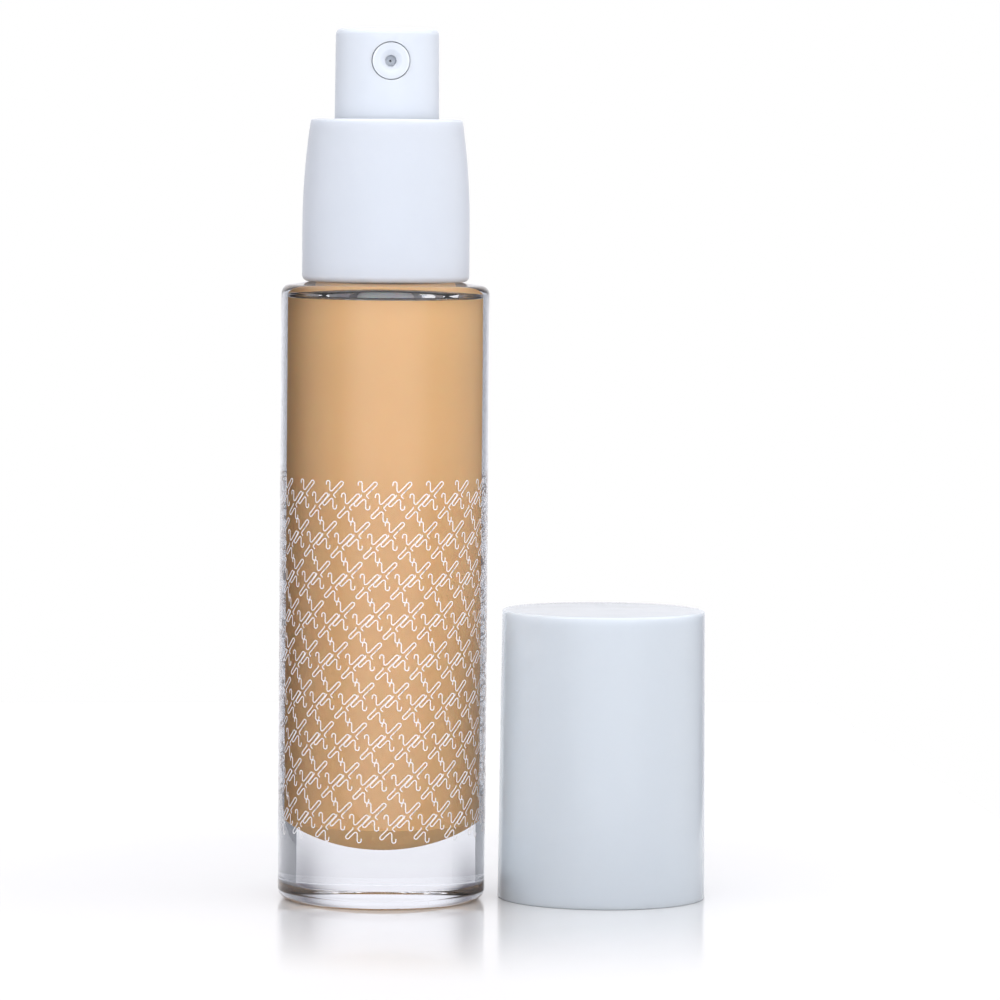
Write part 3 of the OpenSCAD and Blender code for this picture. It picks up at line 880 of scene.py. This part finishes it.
# %% [markdown]
# ## The cap
#
# The cap is two shells. The outer one is glossy, with a nearly sharp top edge and sides that
# spread slightly towards the rim, so that it comes off its mould. The inner one grips the
# collar with short ribs and is held in the middle by spokes. Geometry Nodes place the spokes
# and ribs round the axis, because they are the same bar at equal angles.

# %% Outer shell of the cap
cap_low, cap_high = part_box("cap_shell")
liner_low, liner_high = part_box("cap_liner")
CAP_X = (cap_low.x + cap_high.x) / 2
CAP_R = (cap_high.x - cap_low.x) / 2
CAP_DRAFT = 0.4 * MM
CAP_WALL = 1 * MM
CAP_ROOF = 1.5 * MM
CAP_EDGE = 0.35 * MM
CAP_RIM = 0.2 * MM
CAP_TOP_R = CAP_R - CAP_DRAFT
CAP_BORE_R = CAP_TOP_R - CAP_WALL
at_cap = Matrix.Translation((CAP_X, 0, 0))


def cap_outline():
    top = cap_high.z
    rim = arc((CAP_R - CAP_RIM, CAP_RIM), CAP_RIM, -90, 0, 5)
    edge = arc((CAP_TOP_R - CAP_EDGE, top - CAP_EDGE), CAP_EDGE, 0, 90, 8)
    side = spaced(rim[-1], edge[0], 4 * MM)[1:]
    roof = [(0, top), (0, top - CAP_ROOF), (CAP_BORE_R, top - CAP_ROOF)]
    return [(CAP_BORE_R, 0)] + rim + side + edge + roof


cap = as_object("cap", placed(turned(cap_outline()), at_cap))
dress(cap, cap_white)
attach(cap, "cap")
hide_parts("cap_shell")

# %% The tree that stands bars round an axis
ring_of_bars, given, result = new_tree(
    "ring_of_bars",
    {
        "Count": "NodeSocketInt", "Turn": "NodeSocketFloat", "Radius": "NodeSocketFloat",
        "Bar": "NodeSocketVector", "Centre": "NodeSocketVector", "Plastic": "NodeSocketMaterial",
    },
)
link = ring_of_bars.links.new
ring = node(ring_of_bars, "GeometryNodeMeshCircle")
link(given.outputs["Count"], ring.inputs["Vertices"])
link(given.outputs["Radius"], ring.inputs["Radius"])
bar = node(ring_of_bars, "GeometryNodeMeshCube")
link(given.outputs["Bar"], bar.inputs["Size"])
step = math_node(ring_of_bars, "DIVIDE", 2 * math.pi, given.outputs["Count"])
bar_index = node(ring_of_bars, "GeometryNodeInputIndex").outputs[0]
bar_angle = math_node(ring_of_bars, "MULTIPLY", bar_index, step)
stand = node(ring_of_bars, "GeometryNodeInstanceOnPoints")
link(ring.outputs["Mesh"], stand.inputs["Points"])
link(bar.outputs["Mesh"], stand.inputs["Instance"])
link(combine(ring_of_bars, 0.0, 0.0, bar_angle), stand.inputs["Rotation"])
swing = node(ring_of_bars, "GeometryNodeTransform")
link(stand.outputs["Instances"], swing.inputs["Geometry"])
link(combine(ring_of_bars, 0.0, 0.0, given.outputs["Turn"]), swing.inputs["Rotation"])
link(given.outputs["Centre"], swing.inputs["Translation"])
end_tree(ring_of_bars, swing.outputs["Geometry"], given.outputs["Plastic"], result)

# %% Inner shell of the cap
LINER_WALL = 0.9 * MM
LINER_R = COLLAR_R + 0.35 * MM
LINER_GRIP_R = COLLAR_R + 0.03 * MM
LINER_OUT = CAP_BORE_R - FACE_GAP
LINER_FLANGE = 1 * MM
SPOKES = 8
SPOKE_W = 0.8 * MM
GRIPS = 6
GRIP_W = 1.2 * MM
GRIP_FOOT = liner_low.z + 1.5 * MM
SPOKE_ROOT = 0.2 * MM    # how far a spoke and a grip reach into the wall
GRIP_ROOT = 0.3 * MM


def liner_outline():
    foot, top = liner_low.z, liner_high.z
    bevel = 0.25 * MM
    return [
        (LINER_R, foot + bevel), (LINER_R + bevel, foot), (LINER_OUT, foot),
        (LINER_OUT, foot + LINER_FLANGE), (LINER_R + LINER_WALL, foot + LINER_FLANGE),
        (LINER_R + LINER_WALL, top), (LINER_R, top),
    ]


liner = as_object("cap_inner", placed(turned(liner_outline()), at_cap))
spoke_in = LINER_R + LINER_WALL - SPOKE_ROOT
spoke_h = liner_high.z - liner_low.z - LINER_FLANGE
spokes = grown(
    "cap_spokes", ring_of_bars,
    {
        "Count": SPOKES, "Turn": 0.0, "Radius": (spoke_in + LINER_OUT) / 2,
        "Bar": (LINER_OUT - spoke_in, SPOKE_W, spoke_h),
        "Centre": (CAP_X, 0, liner_high.z - spoke_h / 2), "Plastic": inner_white,
    },
)
grip_out = LINER_R + GRIP_ROOT
grips = grown(
    "cap_grips", ring_of_bars,
    {
        "Count": GRIPS, "Turn": math.pi / GRIPS, "Radius": (LINER_GRIP_R + grip_out) / 2,
        "Bar": (grip_out - LINER_GRIP_R, GRIP_W, COLLAR_STRAIGHT),
        "Centre": (CAP_X, 0, GRIP_FOOT + COLLAR_STRAIGHT / 2), "Plastic": inner_white,
    },
)
dress(liner, inner_white)
for piece in (liner, spokes, grips):
    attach(piece, "cap")
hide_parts("cap_liner")

# %% [markdown]
# ## The return spring
#
# The spring is wire wound round a mandrel, with its end coils closed and flat. A Geometry Nodes
# tree draws the coil: a flat spiral of many turns whose height grows slowly at the ends and
# quickly in the middle, swept with a round section.

# %% The tree that winds a spring
wound_spring, given, result = new_tree(
    "wound_spring",
    {
        "Turns": "NodeSocketFloat", "Coil Radius": "NodeSocketFloat", "Wire": "NodeSocketFloat",
        "Foot": "NodeSocketFloat", "Closed Rise": "NodeSocketFloat", "Open Rise": "NodeSocketFloat",
        "End Share": "NodeSocketFloat", "Steel": "NodeSocketMaterial",
    },
)
link = wound_spring.links.new
coil = node(wound_spring, "GeometryNodeCurveSpiral")
coil.inputs["Resolution"].default_value = 40
coil.inputs["Height"].default_value = 0.0
link(given.outputs["Turns"], coil.inputs["Rotations"])
link(given.outputs["Coil Radius"], coil.inputs["Start Radius"])
link(given.outputs["Coil Radius"], coil.inputs["End Radius"])
share = node(wound_spring, "GeometryNodeSplineParameter").outputs["Factor"]
opening = node(wound_spring, "ShaderNodeMapRange")
link(share, opening.inputs["Value"])
link(given.outputs["End Share"], opening.inputs["From Min"])
link(math_node(wound_spring, "SUBTRACT", 1.0, given.outputs["End Share"]), opening.inputs["From Max"])
closed_height = math_node(wound_spring, "MULTIPLY", share, given.outputs["Closed Rise"])
open_height = math_node(
    wound_spring, "MULTIPLY_ADD", opening.outputs["Result"], given.outputs["Open Rise"], closed_height
)
coil_height = math_node(wound_spring, "ADD", open_height, given.outputs["Foot"])
lift = node(wound_spring, "GeometryNodeSetPosition")
link(coil.outputs["Curve"], lift.inputs["Geometry"])
link(combine(wound_spring, 0.0, 0.0, coil_height), lift.inputs["Offset"])
section = node(wound_spring, "GeometryNodeCurvePrimitiveCircle")
section.inputs["Resolution"].default_value = 12
link(given.outputs["Wire"], section.inputs["Radius"])
sweep = node(wound_spring, "GeometryNodeCurveToMesh")
sweep.inputs["Fill Caps"].default_value = True
link(lift.outputs["Geometry"], sweep.inputs["Curve"])
link(section.outputs["Curve"], sweep.inputs["Profile Curve"])
end_tree(wound_spring, sweep.outputs["Mesh"], given.outputs["Steel"], result)

# %% Wind the spring
spring_low, spring_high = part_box("return_spring")
WIRE_R = 0.3 * MM
SPRING_TURNS = 6.5
COIL_GAP = 0.03 * MM     # between closed coils
coil_h = spring_high.z - spring_low.z - 2 * WIRE_R
closed_rise = SPRING_TURNS * (2 * WIRE_R + COIL_GAP)
spring = grown(
    "spring", wound_spring,
    {
        "Turns": SPRING_TURNS, "Coil Radius": spring_high.x - WIRE_R, "Wire": WIRE_R,
        "Foot": spring_low.z + WIRE_R, "Closed Rise": closed_rise, "Open Rise": coil_h - closed_rise,
        "End Share": 1 / SPRING_TURNS, "Steel": spring_steel,
    },
)
smooth(spring, 60)
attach(spring, "pump")
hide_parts("return_spring")
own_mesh(spring)

# %% [markdown]
# ## The parts that stay as they are
#
# The closure, gasket, housing, guide, dip tube, ball, plunger and piston have the right shape in
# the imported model. They keep it, and only get their finishes.

# %% Finishes for the inner parts
for name, material in {
    "screw_closure": inner_white,
    "neck_gasket": foam_seal,
    "pump_housing": natural_plastic,
    "stem_guide": natural_plastic,
    "dip_tube": natural_plastic,
    "piston_rod": natural_plastic,
    "main_stem": natural_plastic,
    "piston": soft_plastic,
    "inlet_ball": polished_steel,
}.items():
    dress(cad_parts[name], material)
print("inner parts dressed")

# %% [markdown]
# ## The studio
#
# The bottle stands on a glossy white table in front of a white sweep. The camera sees pure white
# behind the object. Everything else sees a softer room: a wide soft light in front, a bright
# sweep behind, light from above, and greyer sides, because glass needs something grey to bend
# into its edges. Area lamps would work too, but their hard edges would show in the glass, so the
# room is a background shader that adds up soft lobes of light round a few directions.
#
# Four helps serve only the picture. The table is polished near its middle, and its own surface
# glows under the bottle, a painted light that lights the bottle's base from below. A grey screen
# behind the bottle is met only by light that has passed through glass, and darkens its edges. A
# light card in the gap between the bottle and the cap, unseen by the camera, brightens the side of
# the cap that the bottle would shade. And the camera sees a plain white where everything else sees
# the room.

# %% The table
TABLE_HALF_WIDE = 0.105
TABLE_HALF_DEEP = 0.23
TABLE_BACK = 0.1         # how far its middle lies behind the object
TABLE_X = CAP_X / 2
TABLE_GAP = 0.02 * MM
POLISH_FULL = 0.035      # the table is polished this far from its middle
POLISH_NONE = 0.1
TABLE_GLOW = 0.32        # painted light: the table's own surface glows under the bottle and lights its base
GLOW_FULL_R = STAND_R - 3 * MM
GLOW_NONE_R = STAND_R - 1 * MM
table_mesh = bmesh.new()
bmesh.ops.create_grid(table_mesh, x_segments=8, y_segments=8, size=1.0)
stretch = Matrix.Diagonal((TABLE_HALF_WIDE, TABLE_HALF_DEEP, 1, 1))
table = as_object("table", placed(table_mesh, Matrix.Translation((0, TABLE_BACK, 0)) @ stretch))
table.location = (TABLE_X, 0, -TABLE_GAP)
table_white = finish(
    "table_white", (0.72, 0.72, 0.722), (0.71, 0.71, 0.712), (0.5, 0.55), (40.0, 0.01, 0.0001),
    tone_scale=3.0, gloss_scale=6.0, Specular_IOR_Level=0.1, Coat_Roughness=0.1, Coat_IOR=1.8,
    Emission_Strength=1.0,
)
tree = table_white.node_tree
from_middle = node(tree, "ShaderNodeVectorMath", operation="LENGTH")
tree.links.new(node(tree, "ShaderNodeTexCoord").outputs["Object"], from_middle.inputs[0])
polish = node(tree, "ShaderNodeMapRange", interpolation_type="SMOOTHSTEP")
polish.inputs["From Min"].default_value = POLISH_FULL
polish.inputs["From Max"].default_value = POLISH_NONE
polish.inputs["To Min"].default_value = 1.0
polish.inputs["To Max"].default_value = 0.0
tree.links.new(from_middle.outputs["Value"], polish.inputs["Value"])
tree.links.new(polish.outputs["Result"], tree.nodes["Principled BSDF"].inputs["Coat Weight"])
# Painted light: the table's surface glows in a disc under the bottle, which lights the bottle's base from
# below.
from_bottle = node(tree, "ShaderNodeVectorMath", operation="DISTANCE")
tree.links.new(node(tree, "ShaderNodeTexCoord").outputs["Object"], from_bottle.inputs[0])
from_bottle.inputs[1].default_value = (-TABLE_X, 0, 0)
glow_under_bottle = node(tree, "ShaderNodeMapRange", interpolation_type="SMOOTHSTEP")
glow_under_bottle.inputs["From Min"].default_value = GLOW_FULL_R
glow_under_bottle.inputs["From Max"].default_value = GLOW_NONE_R
glow_under_bottle.inputs["To Min"].default_value = TABLE_GLOW
glow_under_bottle.inputs["To Max"].default_value = 0.0
tree.links.new(from_bottle.outputs["Value"], glow_under_bottle.inputs["Value"])
tree.links.new(glow_under_bottle.outputs["Result"], tree.nodes["Principled BSDF"].inputs["Emission Color"])
dress(table, table_white)

# %% A grey screen that only the glass sees
SCREEN_R = 30 * MM
SCREEN_H = 128 * MM
SCREEN_ARCS = ((20, 112), (-58, -20))    # degrees round from the back, towards the left
SCREEN_LIGHT = 0.2
SCREEN_DARK = 0.15
SCREEN_STEPS = 12
SHADE_NEAR = 10 * MM     # the screen goes from dark to light between these depths
SHADE_FAR = 26 * MM
SCREEN_DARK_TINT = (1.0, 0.98, 1.2)
SCREEN_LIGHT_TINT = (0.98, 1.0, 1.08)

screen_mesh = bmesh.new()
for first, last in SCREEN_ARCS:
    turns = [math.radians(first + (last - first) * i / SCREEN_STEPS) for i in range(SCREEN_STEPS + 1)]
    foot = [screen_mesh.verts.new((-SCREEN_R * math.sin(t), SCREEN_R * math.cos(t), 0)) for t in turns]
    head = [screen_mesh.verts.new((v.co.x, v.co.y, SCREEN_H)) for v in foot]
    for i in range(SCREEN_STEPS):
        screen_mesh.faces.new((foot[i], foot[i + 1], head[i + 1], head[i]))
screen = as_object("grey_screen", screen_mesh)
screen_grey = finish(
    "screen_grey", (0.02, 0.02, 0.02), (0.015, 0.015, 0.015), (0.9, 1.0), (200.0, 0.05, 0.00001),
    Specular_IOR_Level=0.0, Emission_Strength=1.0,
)
tree = screen_grey.node_tree
place = node(tree, "ShaderNodeSeparateXYZ")
tree.links.new(node(tree, "ShaderNodeTexCoord").outputs["Object"], place.inputs[0])
shade = node(tree, "ShaderNodeMapRange", data_type="FLOAT_VECTOR", interpolation_type="SMOOTHSTEP")
# The vector sockets of a Map Range are 6 for the value, 7 and 8 for the range that goes in, and 9
# and 10 for the range that comes out.
shade.inputs[7].default_value = (SHADE_NEAR,) * 3
shade.inputs[8].default_value = (SHADE_FAR,) * 3
shade.inputs[9].default_value = tuple(SCREEN_DARK * part for part in SCREEN_DARK_TINT)
shade.inputs[10].default_value = tuple(SCREEN_LIGHT * part for part in SCREEN_LIGHT_TINT)
tree.links.new(place.outputs["Y"], shade.inputs[6])
tree.links.new(shade.outputs["Vector"], tree.nodes["Principled BSDF"].inputs["Emission Color"])
dress(screen, screen_grey)
screen.visible_camera = False
screen.visible_diffuse = False
screen.visible_glossy = False
screen.visible_shadow = False

# %% A narrow light card between the bottle and the cap
CARD_OFF = 0.6 * MM      # from the bottle's side
CARD_HALF_DEEP = 13 * MM
CARD_H = 46 * MM
CARD_FOOT = 4 * MM
CARD_LIGHT = 0.42
card_mesh = bmesh.new()
bmesh.ops.create_grid(card_mesh, x_segments=1, y_segments=1, size=1.0)
upright = Matrix.Rotation(math.radians(90), 4, "Y")
card_place = Matrix.Translation((BOTTLE_R + CARD_OFF, 0, CARD_FOOT + CARD_H / 2)) @ upright
card_size = Matrix.Diagonal((CARD_H / 2, CARD_HALF_DEEP, 1, 1))
card = as_object("light_card", placed(card_mesh, card_place @ card_size))
card_white = finish(
    "card_white", (0.9, 0.9, 0.9), (0.88, 0.88, 0.88), (0.5, 0.55), (40.0, 0.01, 0.0001),
    Emission_Strength=1.0,
)
tree = card_white.node_tree
one_sided = node(tree, "ShaderNodeMapRange")
one_sided.inputs["To Min"].default_value = CARD_LIGHT
one_sided.inputs["To Max"].default_value = 0.0
tree.links.new(node(tree, "ShaderNodeNewGeometry").outputs["Backfacing"], one_sided.inputs["Value"])
tree.links.new(one_sided.outputs["Result"], tree.nodes["Principled BSDF"].inputs["Emission Color"])
dress(card, card_white)
card.visible_camera = False
card.visible_transmission = False
card.visible_glossy = False
card.visible_shadow = False

# %% The room's soft lights
ROOM_SHADE = (0.16, 0.155, 0.185)
ROOM_LIGHTS = {
    # name: (direction, cosine where it starts, cosine where it is full, colour)
    "front": ((-0.04, -1, 0.05), 0.55, 1.0, (1.3, 1.34, 1.42)),
    "sweep": ((0, 1, 0.1), 0.76, 0.97, (0.85, 0.85, 0.86)),
    "above": ((0, 0, 1), 0.3, 1.0, (1.5, 1.5, 1.5)),
    "right": ((1, -0.5, 0.1), 0.2, 1.0, (1.08, 1.08, 1.08)),
    "left": ((-1, -0.8, 0.1), 0.2, 1.0, (0.95, 0.95, 0.95)),
}
room = bpy.data.worlds.new("studio_room")
bpy.context.scene.world = room
room.use_nodes = True
sky = room.node_tree
sky.nodes.clear()
toward_sky = node(sky, "ShaderNodeTexCoord").outputs["Generated"]
total_light = node(sky, "ShaderNodeRGB").outputs[0]
total_light.default_value = (*ROOM_SHADE, 1)
for name, (direction, first, full, colour) in ROOM_LIGHTS.items():
    facing = node(sky, "ShaderNodeVectorMath", operation="DOT_PRODUCT", name=name)
    facing.inputs[1].default_value = Vector(direction).normalized()
    sky.links.new(toward_sky, facing.inputs[0])
    lobe = node(sky, "ShaderNodeMapRange", interpolation_type="SMOOTHSTEP")
    lobe.inputs["From Min"].default_value = first
    lobe.inputs["From Max"].default_value = full
    sky.links.new(facing.outputs["Value"], lobe.inputs["Value"])
    glow = node(sky, "ShaderNodeVectorMath", operation="MULTIPLY_ADD")
    sky.links.new(lobe.outputs["Result"], glow.inputs[0])
    glow.inputs[1].default_value = colour
    sky.links.new(total_light, glow.inputs[2])
    total_light = glow.outputs["Vector"]
room_light = node(sky, "ShaderNodeBackground")
sky.links.new(total_light, room_light.inputs["Color"])
backdrop = node(sky, "ShaderNodeBackground")
backdrop.inputs["Color"].default_value = (1, 1, 1, 1)
seen = node(sky, "ShaderNodeMixShader")
sky.links.new(node(sky, "ShaderNodeLightPath").outputs["Is Camera Ray"], seen.inputs["Fac"])
sky.links.new(room_light.outputs[0], seen.inputs[1])
sky.links.new(backdrop.outputs[0], seen.inputs[2])
sky.links.new(seen.outputs[0], node(sky, "ShaderNodeOutputWorld").inputs["Surface"])
print("room lights:", list(ROOM_LIGHTS))

# %% [markdown]
# ## The camera
#
# A long lens from nearly a metre away keeps the bottle's sides almost parallel. The camera looks
# slightly down, stands a little to the left of the nozzle, and is rolled by a fraction of a
# degree. It is aimed past the bottle so that the bottle and the cap sit in the frame together.

# %% Camera
CAMERA_FAR = 0.899
CAMERA_H = 0.119
CAMERA_SIDE = math.radians(4.3)
LOOK_DOWN = math.radians(3.4)
LOOK_ASIDE = math.radians(1.21)
CAMERA_ROLL = math.radians(0.5)
LENS_LONG = 198          # millimetres, as is the sensor's width
SENSOR_WIDE = 36
lens = bpy.data.cameras.new("camera")
lens.lens = LENS_LONG
lens.sensor_width = SENSOR_WIDE
lens.clip_end = 50
camera = bpy.data.objects.new("camera", lens)
heading = CAMERA_SIDE + LOOK_ASIDE
camera.location = (-CAMERA_FAR * math.sin(CAMERA_SIDE), -CAMERA_FAR * math.cos(CAMERA_SIDE), CAMERA_H)
level = Matrix.Rotation(math.radians(90) - LOOK_DOWN, 4, "X")
camera.rotation_euler = (
    Matrix.Rotation(-heading, 4, "Z") @ level @ Matrix.Rotation(CAMERA_ROLL, 4, "Z")
).to_euler()
bpy.context.scene.collection.objects.link(camera)
bpy.context.scene.camera = camera
bpy.context.scene.view_settings.view_transform = "Standard"
print("camera at", [round(v, 3) for v in camera.location])
